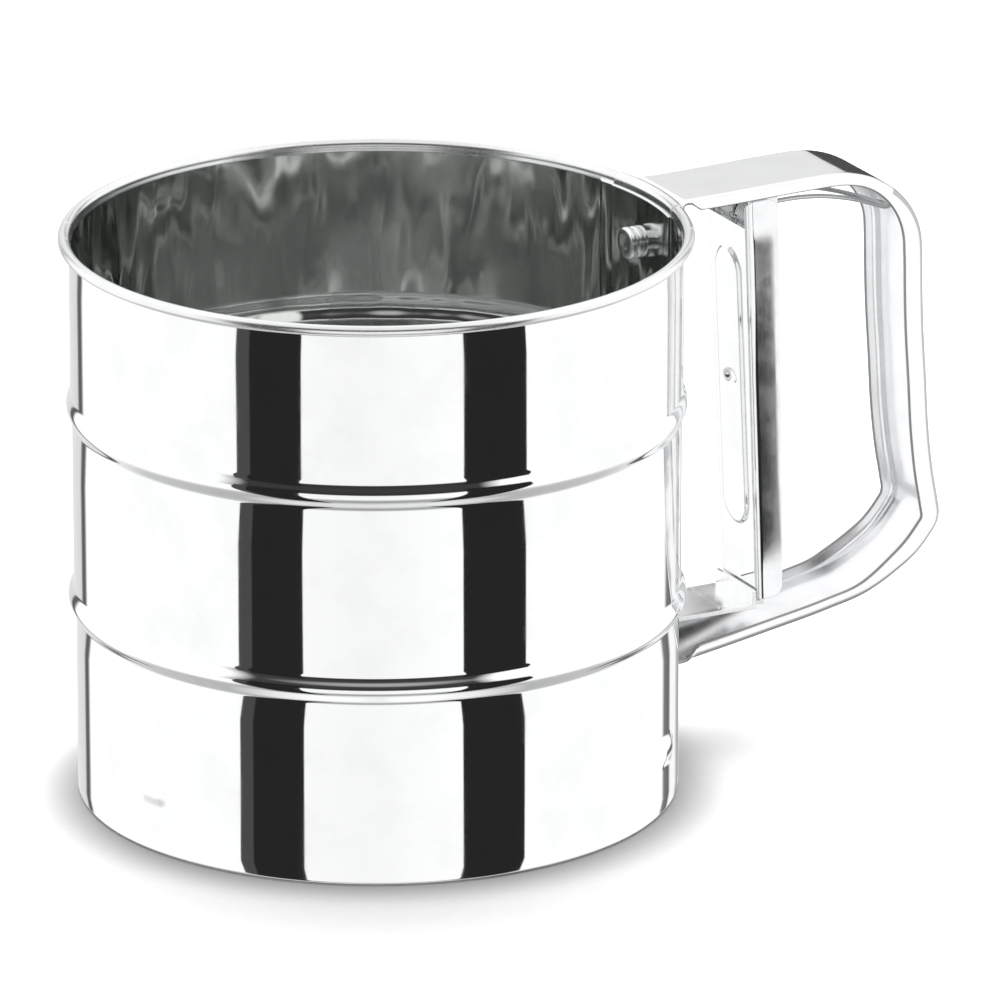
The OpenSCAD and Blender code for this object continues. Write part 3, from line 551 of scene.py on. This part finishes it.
def strap_stations():
    """Places along the strap's outer face, and its whole length.

    Each is (point, inward normal, depth of the turned-in edges, share, wrap, length so far): share is 0
    where the strap is flat and 1 where it is a channel, and wrap is 1 where it lies on the round wall.
    """
    tab = [(62.53, 98), (62.53, 104), (62.53, 110), (62.55, 113.2), (62.85, 113.9), (64.8, 115.6),
           (65.1, 116.1)] + arc2((66.35, 116.8), 1.2, 180, 90, 6)
    top = [(68, 118), (72, 118.06), (78, 118.2), (84, 118.38), (90, 118.56), (95.5, 118.68)]
    corner = [(CORNER[0] + CORNER_R[0] * c, CORNER[1] + CORNER_R[1] * d)
              for c, d in arc2((0, 0), 1, 90, 0, 16)]
    grip = [(122.05, 91), (122.3, 84), (123.1, 72), (123.9, 60), (125, 51), (126.1, 45)]
    turn = [(126.6, 41), (126.1, 39), (124.6, 36.8), (121.2, 33), (116.3, 29.6), (109.5, 26.1)]
    bottom = [(100, 23.7), (86, 21.1), (72, 18.7), (66.5, 17.85)]
    low_tab = [(64.4, 17.6), (63.1, 17.75), (62.2, 18.4), (61.86, 19.6), (61.84, 22), (61.84, 28),
               (61.84, 36)]

    def edge_depth(p):
        """Shallow along the top, deep down the grip, and narrowing along the lower run."""
        x, z = p
        if z <= GRIP_LOW[1]:
            return lerp(EDGE_GRIP, EDGE_LOW, smooth(GRIP_LOW[0] - x, 2, 22))
        if z > CORNER[1]:
            turned = math.degrees(math.atan2(x - CORNER[0], z - CORNER[1]))
            return lerp(EDGE_TOP, EDGE_GRIP, smooth(turned, 20, 90))
        return EDGE_TOP if x < CORNER[0] else EDGE_GRIP

    outer = tab + top + corner + grip + turn + bottom + low_tab
    curve = hermite(outer, 0.9)
    stations = []
    length = 0.0
    for i, p in enumerate(curve):
        a, b = curve[max(i - 1, 0)], curve[min(i + 1, len(curve) - 1)]
        along = (b - a).normalized()
        normal = Vector((along.y, -along.x))
        if i:
            length += (p - curve[i - 1]).length
        share = smooth(p.x, 66.6, 69.5)
        wrap = 1 - smooth(p.x, 64.0, 66.5)
        stations.append([p, normal, edge_depth(p), share, wrap, length])
    return stations, length


def strap_section(depth, share):
    """Half-width offsets and depths round the strap's section: a flat strip that becomes a channel."""
    half, t = STRAP_HALF, STRAP_T

    def rolls(sign):
        """Outer and inner radius of the rolled edge on one side, and half of the flat between them."""
        far = lerp(*FAR_ROLL, smooth(depth, EDGE_TOP, EDGE_GRIP))
        roll = min(STRAP_ROLL if sign < 0 else far, depth - 0.4)
        return roll, max(0.3, roll - t), half - roll

    def reach(sign):
        return depth if sign < 0 else min(depth, FAR_REACH)

    def side(sign):
        depth = reach(sign)
        roll, _, flat_half = rolls(sign)
        flat_gap = roll - 0.15
        channel = [(half - t * 0.5, depth), (half - 0.12, depth - 0.08), (half, depth - 0.3)]
        channel += [(flat_half + roll * math.cos(math.radians(a)), roll - roll * math.sin(math.radians(a)))
                    for a in spread(0, 90, 9)]
        strip = [(half - 0.1, t * 0.6), (half - 0.03, t * 0.4), (half, t * 0.3)]
        strip += [(half - 0.15 * i / 9 - flat_gap * i / 9, 0.22 * (1 - i / 9) ** 2) for i in range(10)]
        return [(sign * lerp(s[0], c[0], share), lerp(s[1], c[1], share)) for s, c in zip(strip, channel)]

    def inner_side(sign):
        depth = reach(sign)
        roll, inner_roll, flat_half = rolls(sign)
        flat_gap = roll - 0.15
        channel = [(half - t + 0.12, depth - 0.08), (half - t, depth - 0.3)]
        channel += [(flat_half + roll - t - inner_roll + inner_roll * math.cos(math.radians(a)),
                     t + inner_roll - inner_roll * math.sin(math.radians(a))) for a in spread(0, 90, 7)]
        strip = [(half - 0.2, t * 0.8), (half - 0.3, t)]
        strip += [(half - 0.4 - flat_gap * i / 7, t) for i in range(8)]
        return [(sign * lerp(s[0], c[0], share), lerp(s[1], c[1], share)) for s, c in zip(strip, channel)]

    face = [(y, 0.0) for y in spread(-rolls(-1)[2] * 0.95, rolls(1)[2] * 0.95, 8)]
    inside = [(y, t) for y, _ in reversed(face)]
    return side(-1) + face + side(1)[::-1] + inner_side(1) + inside + inner_side(-1)[::-1]


def handle_strap():
    """The bent strip with its rolled edges, flat at both ends where it lies on the wall."""
    stations, length = strap_stations()
    rows = len(stations)
    points = []
    for p, normal, depth, share, wrap, at in stations:
        scale = (STRAP_HALF - rounded(min(at, length - at), TAB_CORNER)) / STRAP_HALF
        for y, d in strap_section(depth, share):
            y *= scale
            x = p.x + normal.x * d
            z = p.y + normal.y * d
            x -= wrap * (x - math.sqrt(x * x - y * y))
            points.append((x, y, z))
    count = len(points) // rows
    edge = [d > (EDGE_GRIP if y < 0 else FAR_REACH) - 0.35 for y, d in strap_section(EDGE_GRIP, 1.0)]
    near_roll, inside = range(5, 12), range(count - 29, count)  # quads round the section
    faces = grid(rows, count, close_cols=True)

    def finish(i, j):
        """Sheared free edges, darkened partly as painted shade, satin inside, and a painted shade line
        along the near edge's roll, but not on the top.
        """
        # free edges: rough cut steel, darkened partly as painted shade
        if edge[j] and edge[(j + 1) % count]:
            return "cut_edge"
        normal, share = stations[i][1], stations[i][3]
        # a painted shade line along the near roll, away from the top
        if j in near_roll and normal.y > -0.8 and share > 0.9:
            return "rolled_line"
        return "strap_inside" if j in inside else None

    finishes = [finish(i, j) for i in range(rows - 1) for j in range(count)]
    faces.append(tuple(range(count))[::-1])
    faces.append(tuple((rows - 1) * count + k for k in range(count)))
    loop = piece("handle_loop", points, faces, "cup", "handle_steel", ["handle_strap"], sharp=48, even=True,
                 finish=finishes + [None, None])
    loop.visible_shadow = False  # the studio's floor shows the cup's shadow only
    return loop


# ---- Trigger ----


def lever_frame():
    """Matrix from the lever's own frame, upright with the pin at its origin, to the object's."""
    turn = Matrix.Rotation(math.radians(-LEVER_LEAN), 4, "Y")
    return Matrix.Translation((HINGE_X, 0, HINGE_Z)) @ turn


def trigger_lever():
    """A channel with its web towards the cup, ears round the hinge pin and a long raised oval."""
    low, top = -LEVER_DROP, LEVER_TOP

    def half_width(z):
        return lerp(LEVER_HALF_LOW, LEVER_HALF_TOP, (z - low) / (top - low))

    def flange_depth(z):
        return lerp(FLANGE_LOW, FLANGE_HIGH, min(1.0, (z - low) / (FLANGE_FULL_Z - low)))

    def oval(y, z):
        """How far the web's long oval stands out, with the dimple in it."""
        over = math.hypot(y, max(0.0, abs(z - OVAL_Z) - OVAL_STRAIGHT)) - OVAL_HALF
        from_dimple = math.hypot(y / DIMPLE_WIDE, z - DIMPLE_Z)
        raised = OVAL_OUT * (1 - smooth(over, -0.8, 0.0))
        return raised - DIMPLE_DEEP * (1 - smooth(from_dimple, 0.3, DIMPLE_R))

    def flare(z, from_web):
        """How far the flange leans outward, most along the middle of the lever."""
        along = smooth(z, -80, -69) * (1 - smooth(z, -6, 0))
        reach = min(from_web, FLARE_END)
        return along * FLARE_SLOPE * reach * (1 - FLARE_EASE * reach / FLARE_END)

    # columns from one free edge to the other, as (side, kind, value)
    across = (0.0, 0.02, 0.06, 0.14, 0.25, 0.4, 0.55, 0.7, 0.85, 0.95)
    columns = [(-1, "flange", s) for s in across]
    columns += [(-1, "bend", a) for a in spread(0, 90, 8)]
    columns += [(0, "web", y) for y in spread(-0.995, 0.995, 56)]
    columns += [(1, "bend", a) for a in spread(90, 0, 8)]
    columns += [(1, "flange", s) for s in reversed(across)]

    def at(column, v, inner):
        side, kind, value = column
        t = LEVER_T if inner else 0.0
        bend = LEVER_BEND - t
        if kind == "web":
            z = lerp(low, WEB_TOP, v)
            half = half_width(z)
            y = value * (half - LEVER_BEND)
            return (-WEB + t - oval(y, z), y, z)
        # the distance from the free edge rounds the flange's corners
        depth = flange_depth(FLANGE_MIDDLE_Z)
        if kind == "flange":
            from_edge = value * (depth - LEVER_BEND)
        else:
            from_edge = depth - LEVER_BEND + LEVER_BEND * math.sin(math.radians(value))
        from_web = depth - from_edge
        z_low = low + rounded(from_edge, CORNER_LOW_R)
        z_top = top - (rounded(from_web, EAR_R) if from_web < EAR_R else rounded(from_edge, CORNER_TOP_R))
        z = lerp(z_low, z_top, v)
        half, depth = half_width(z), flange_depth(z)
        if kind == "flange":
            x = -WEB + depth - value * (depth - LEVER_BEND)
            return (x, side * (half - t + flare(z, x + WEB - LEVER_BEND)), z)
        a = math.radians(value)
        x = -WEB + LEVER_BEND - bend * math.sin(a)
        return (x, side * (half - LEVER_BEND + bend * math.cos(a)), z)

    rows = sorted(set(spread(0, 0.03, 12) + spread(0.03, 0.96, 190) + spread(0.96, 1, 18)))
    lean = lever_frame()
    points = []
    for v in rows:
        ring = [at(c, v, False) for c in columns] + [at(c, v, True) for c in reversed(columns)]
        points += [lean @ Vector(p) for p in ring]
    count = 2 * len(columns)
    faces = grid(len(rows), count, close_cols=True)
    n = len(columns)
    for start, flip in ((0, 1), ((len(rows) - 1) * count, -1)):
        for k in range(n - 1):
            quad = (start + k, start + k + 1, start + count - 2 - k, start + count - 1 - k)
            faces.append(quad[::-flip])
    around = [kind for _, kind, _ in columns + columns[::-1]]
    brushed = ["flange_steel" if kind == after == "flange" else None
               for kind, after in zip(around, around[1:] + around[:1])]
    finishes = brushed * (len(rows) - 1) + [None] * (2 * (n - 1))
    return piece("trigger_channel", points, faces, "trigger", "lever_steel", ["trigger_lever"], sharp=40,
                 even=True, finish=finishes)


# ---- Return spring ----


def spring_half(side):
    """One coil with the long wire that leaves it, from the coil's inner end to the loop's nose."""
    turns = COIL_TURNS + 0.25
    path = []
    for k in range(int(turns * 36) + 1):
        a = math.radians(180 - 10 * k)
        y = side * (COIL_Y + WIRE_R * 0.1 + COIL_PITCH * COIL_TURNS * k / (turns * 36))
        path.append((HINGE_X + COIL_R * math.cos(a), y, HINGE_Z + COIL_R * math.sin(a)))
    last = path[-1]
    for t in spread(0.03, 1.0, 40):
        x = lerp(HINGE_X, HINGE_X + LOOP_REACH - LOOP_NOSE, t)
        z = HINGE_Z + COIL_R - LOOP_DROP * t * t + LOOP_ARCH * math.sin(math.pi * t)
        path.append((x, lerp(last[1], side * LOOP_NOSE, t), z))
    end = path[-1]
    for a in spread(0, 90, 8)[1:]:
        c, s = math.cos(math.radians(a)), math.sin(math.radians(a))
        path.append((end[0] + LOOP_NOSE * s, side * LOOP_NOSE * c, end[2] - 0.35 * s))
    return path


def return_spring():
    """Two coils round the hinge pin and the wire loop between them."""
    right, left = spring_half(-1), spring_half(1)
    points, faces = tube(right + left[-2::-1], WIRE_R)
    return piece("return_spring_coils", points, faces, "cup", "wire_steel", ["return_spring"])


def spring_arms():
    """The spring's two short arms, which lie on the lever's web."""
    lean = lever_frame()
    parts = []
    for side in (-1, 1):
        path = [(-COIL_R, side * 0.55, z) for z in spread(-12, -1.2, 9)]
        path += [(-COIL_R, side * y, z) for y, z in ((0.62, -0.8), (0.8, -0.4), (1.0, -0.1))]
        points, faces = tube(path, WIRE_R)
        parts.append(([lean @ Vector(p) for p in points], faces))
    return piece("return_spring_arms", *joined(parts), "trigger", "wire_steel")


# ---- Sieve mesh ----


def sieve_mesh():
    """Woven wire cloth: two sets of wires that pass over and under each other."""
    parts = []
    count = int(MESH_R // MESH_PITCH)
    for axis in (0, 1):
        for i in range(-count, count + 1):
            across = (i + 0.5) * MESH_PITCH
            if abs(across) > MESH_R - 1:
                continue
            half = math.sqrt(MESH_R**2 - across**2)
            runs = [(-half, half)]
            if abs(across) < MESH_HOLE_R:
                gap = math.sqrt(MESH_HOLE_R**2 - across**2)
                runs = [(-half, -gap), (gap, half)]
            for start, end in runs:
                steps = max(2, round((end - start) / (MESH_PITCH / 3)))
                path = []
                for s in spread(start, end, steps):
                    phase = math.pi * (s / MESH_PITCH - 0.5 + i + axis)
                    z = MESH_Z + (1 if axis else -1) * MESH_WIRE_R * math.cos(phase)
                    path.append((s, across, z) if axis == 0 else (across, s, z))
                parts.append(tube(path, MESH_WIRE_R, sides=5))
    return piece("sieve_cloth", *joined(parts), "cup", "mesh_wire", ["sieve_mesh"], sharp=80)


# ---- Studio ----


def direction(azimuth, elevation):
    a, e = math.radians(azimuth), math.radians(elevation)
    return Vector((math.sin(a) * math.cos(e), -math.cos(a) * math.cos(e), math.sin(e)))


def camera():
    """The camera at the photo's angle."""
    data = bpy.data.cameras.new("camera")
    data.sensor_width = 36
    data.lens = CAMERA_LENS
    obj = bpy.data.objects.new("camera", data)
    bpy.context.scene.collection.objects.link(obj)
    back = direction(CAMERA_AZIMUTH, CAMERA_ELEVATION)
    obj.location = (Vector(CAMERA_AIM) + back * CAMERA_DISTANCE) * MM
    obj.rotation_mode = "QUATERNION"
    obj.rotation_quaternion = (-back).to_track_quat("-Z", "Y")
    data.clip_start, data.clip_end = 0.1, 50
    bpy.context.scene.camera = obj


def studio():
    """A white tent given as light by direction: by azimuth low down, and by elevation everywhere."""
    world = bpy.data.worlds.new("studio")
    bpy.context.scene.world = world
    world.use_nodes = True
    tree = world.node_tree
    tree.nodes.clear()
    front = direction(CAMERA_AZIMUTH, 0)
    right = Vector((-front.y, front.x, 0))
    ray = add(tree, "ShaderNodeTexCoord").outputs["Generated"]
    towards, sideways = (
        add(tree, "ShaderNodeVectorMath", {0: ray, 1: axis}, operation="DOT_PRODUCT").outputs["Value"]
        for axis in (front, right))
    height = add(tree, "ShaderNodeSeparateXYZ", {0: ray}).outputs["Z"]
    turn = add(tree, "ShaderNodeMath", {0: sideways, 1: towards}, operation="ARCTAN2").outputs[0]
    share = add(tree, "ShaderNodeMath", {0: turn, 1: 1 / (2 * math.pi), 2: 0.5},
                operation="MULTIPLY_ADD").outputs[0]
    level = add(tree, "ShaderNodeMath", {0: height, 1: 0.5, 2: 0.5}, operation="MULTIPLY_ADD").outputs[0]

    def at(degrees):
        return (degrees + 180) / 360

    def up(degrees):
        return (math.sin(math.radians(degrees)) + 1) / 2

    # brightness by azimuth from the camera's side, then by elevation beside and in front of the camera
    round_about = ramp(tree, share, [
        (at(-176), 0.76), (at(-152), 0.66), (at(-150), 0.1), (at(-145.5), 0.12), (at(-144), 1.0),
        (at(-60), 0.97), (at(-5), 0.9), (at(30), 0.97), (at(141), 1.0), (at(143), 0.2), (at(150), 0.12),
        (at(151.5), 0.9), (at(160), 0.9), (at(166), 0.35), (at(172), 0.4), (at(176), 0.76)])
    side_rise = ramp(tree, level, [
        (up(-80), 1.0), (up(-62), 0.45), (up(-45), 0.55), (up(-32), 1.0), (up(60), 1.0), (up(80), 0.8)])
    front_rise = ramp(tree, level, [
        (up(-80), 0.9), (up(-62), 0.35), (up(-45), 0.45), (up(-32), 1.0), (up(6), 1.0), (up(12), 0.03),
        (up(36), 0.05), (up(46), 0.8)])
    in_front = ramp(tree, share, [(at(-60), 0.0), (at(-50), 1.0), (at(40), 1.0), (at(48), 0.0)])
    rise = add(tree, "ShaderNodeMix", {"Factor": in_front}, data_type="RGBA")
    tree.links.new(side_rise, rise.inputs["A"])
    tree.links.new(front_rise, rise.inputs["B"])
    low_down = ramp(tree, level, [(up(22), 1.0), (up(27), 0.0)])
    tent = add(tree, "ShaderNodeMix", {"Factor": low_down}, data_type="RGBA", blend_type="MULTIPLY")
    tree.links.new(rise.outputs["Result"], tent.inputs["A"])
    tree.links.new(round_about, tent.inputs["B"])

    path = add(tree, "ShaderNodeLightPath")
    tent_light = add(tree, "ShaderNodeBackground", {"Color": tent.outputs["Result"], "Strength": 1.12})
    # plain light reaches the floor, and the camera sees plain white behind everything
    plain_light = add(tree, "ShaderNodeBackground", {"Color": (1, 1, 1, 1), "Strength": 1.15})
    backdrop = add(tree, "ShaderNodeBackground", {"Color": (1, 1, 1, 1), "Strength": 1.0})
    lit = add(tree, "ShaderNodeMixShader", {0: path.outputs["Is Diffuse Ray"], 1: tent_light.outputs[0],
                                            2: plain_light.outputs[0]})
    seen = add(tree, "ShaderNodeMixShader", {0: path.outputs["Is Camera Ray"], 1: lit.outputs[0],
                                             2: backdrop.outputs[0]})
    out = add(tree, "ShaderNodeOutputWorld")
    tree.links.new(seen.outputs[0], out.inputs["Surface"])


def flags():
    """Cards that only the steel reflects: dark gaps in the tent, a dark card that stands for the shade
    under the link as painted shade, and a white one beside the grip.

    Each has a brightness and its corners, in metres.
    """
    front = direction(CAMERA_AZIMUTH, 0)
    right = Vector((-front.y, front.x, 0))

    def facing(ahead, outline):
        """Corners of a card that faces the camera, so far in front of the cup's axis."""
        return [front * ahead + right * x + Vector((0, 0, z)) for x, z in outline]

    def upright(start, end, low=-0.9, high=0.25):
        """Outline of an oblong, from start to end across the view."""
        return [(start, low), (end, low), (end, high), (start, high)]

    def along_handle(y, outline):
        """Corners of a card that stands beside the handle, which points along X."""
        return [Vector((x, y, z)) for x, z in outline]

    cards = {
        "flag_left": (0.02, facing(0.4, upright(-0.405, -0.192))),
        "flag_left_edge": (0.07, facing(0.4, upright(-0.492, -0.405))),
        "flag_right": (0.02, facing(0.4, upright(0.24, 0.59))),
        "flag_behind": (0.08, facing(-0.3, upright(0.07, 0.17, 0.02, 0.157))),
        # painted shade: this dark card stands for the shade under the link, where the handle's steel
        # reflects it
        "painted_shade_card_under_link": (0.02, along_handle(0.0108, [(0.063, 0.0205), (0.09, 0.0252), (0.09, 0.0263),
                                                        (0.063, 0.0263)])),
        "white_card": (1.1, facing(0.035, [(0.09, 0.048), (0.14, 0.061), (0.14, 0.14), (0.09, 0.14)])),
    }
    for name, (level, corners) in cards.items():
        obj = stage_piece(name, corners, [(0, 1, 2, 3)])
        material = bpy.data.materials.new(name)
        material.use_nodes = True
        tree = material.node_tree
        tree.nodes.clear()
        glow = add(tree, "ShaderNodeEmission", {"Color": (level, level, level, 1), "Strength": 1.0})
        out = add(tree, "ShaderNodeOutputMaterial")
        tree.links.new(glow.outputs[0], out.inputs["Surface"])
        obj.data.materials.append(material)
        obj.visible_camera = False
        obj.visible_diffuse = False
        obj.visible_shadow = False


def key_light():
    """A large soft light above and behind, which gives the floor its shadow."""
    data = bpy.data.lights.new("key", "AREA")
    data.shape = "DISK"
    data.size = KEY_SIZE
    data.energy = KEY_POWER
    obj = bpy.data.objects.new("key", data)
    bpy.context.scene.collection.objects.link(obj)
    towards = direction(CAMERA_AZIMUTH + 180, KEY_ELEVATION)
    obj.location = towards * KEY_DISTANCE
    obj.rotation_mode = "QUATERNION"
    obj.rotation_quaternion = towards.to_track_quat("Z", "Y")
    obj.visible_glossy = False


def stage_piece(name, points, faces):
    """A mesh of the stage, in metres."""
    mesh = bpy.data.meshes.new(name)
    mesh.from_pydata([tuple(p) for p in points], [], faces)
    obj = bpy.data.objects.new(name, mesh)
    bpy.context.scene.collection.objects.link(obj)
    return obj


def disc(radii, z, count=64):
    """Points and faces of a flat disc with rings at these radii."""
    points = [(r * math.cos(2 * math.pi * j / count), r * math.sin(2 * math.pi * j / count), z)
              for r in radii for j in range(count)]
    return points, grid(len(radii), count, close_cols=True) + [tuple(range(count))]


def floor():
    """A pale round floor that fades into the backdrop.

    Polished steel sees only the small disc of it that the cup covers.
    """
    material = bpy.data.materials.new("floor_card")
    material.use_nodes = True
    tree = material.node_tree
    shader = tree.nodes["Principled BSDF"]
    place = add(tree, "ShaderNodeTexCoord").outputs["Object"]
    fibre = add(tree, "ShaderNodeTexNoise", {"Vector": place, "Scale": 400, "Detail": 5})
    tone = ramp(tree, fibre.outputs["Fac"], [(0.3, 0.93), (0.7, 0.95)])
    # painted shadow: the floor's colour darkens where the cup closes it in
    closed_in = add(tree, "ShaderNodeAmbientOcclusion", {"Distance": 0.014}, samples=16).outputs["AO"]
    painted_contact_shadow = ramp(tree, closed_in, [(0.45, 0.4), (0.7, 0.66), (0.97, 1.0)])
    shaded = add(tree, "ShaderNodeMix", {"Factor": 1.0}, data_type="RGBA", blend_type="MULTIPLY")
    tree.links.new(tone, shaded.inputs["A"])
    tree.links.new(painted_contact_shadow, shaded.inputs["B"])
    tree.links.new(shaded.outputs["Result"], shader.inputs["Base Color"])
    shader.inputs["Roughness"].default_value = 0.9
    shader.inputs["Specular IOR Level"].default_value = 0.0
    wide = stage_piece("floor", *disc([0.2, 0.5, 1.0, 2.5, 6.0], -0.0004))
    wide.visible_glossy = False
    under = stage_piece("floor_under_cup", *disc([0.03, 0.0605], -0.0002))
    for obj in (wide, under):
        obj.data.materials.append(material)


# ---- Build ----

camera()
studio()
flags()
key_light()
floor()
cup_shell()
all_rivets()
handle_strap()
trigger_lever()
return_spring()
spring_arms()
sieve_mesh()

slots = {part["node"]: part["material_slot"] for part in frame["record"]["subparts"]}
for name, node in frame["nodes"].items():
    node.data.materials.clear()
    node.data.materials.append(MATERIALS[slots[name]])

scene = bpy.context.scene
scene.view_settings.view_transform = "Standard"
scene.cycles.use_denoising = True
scene.cycles.max_bounces = 16
scene.cycles.glossy_bounces = 12
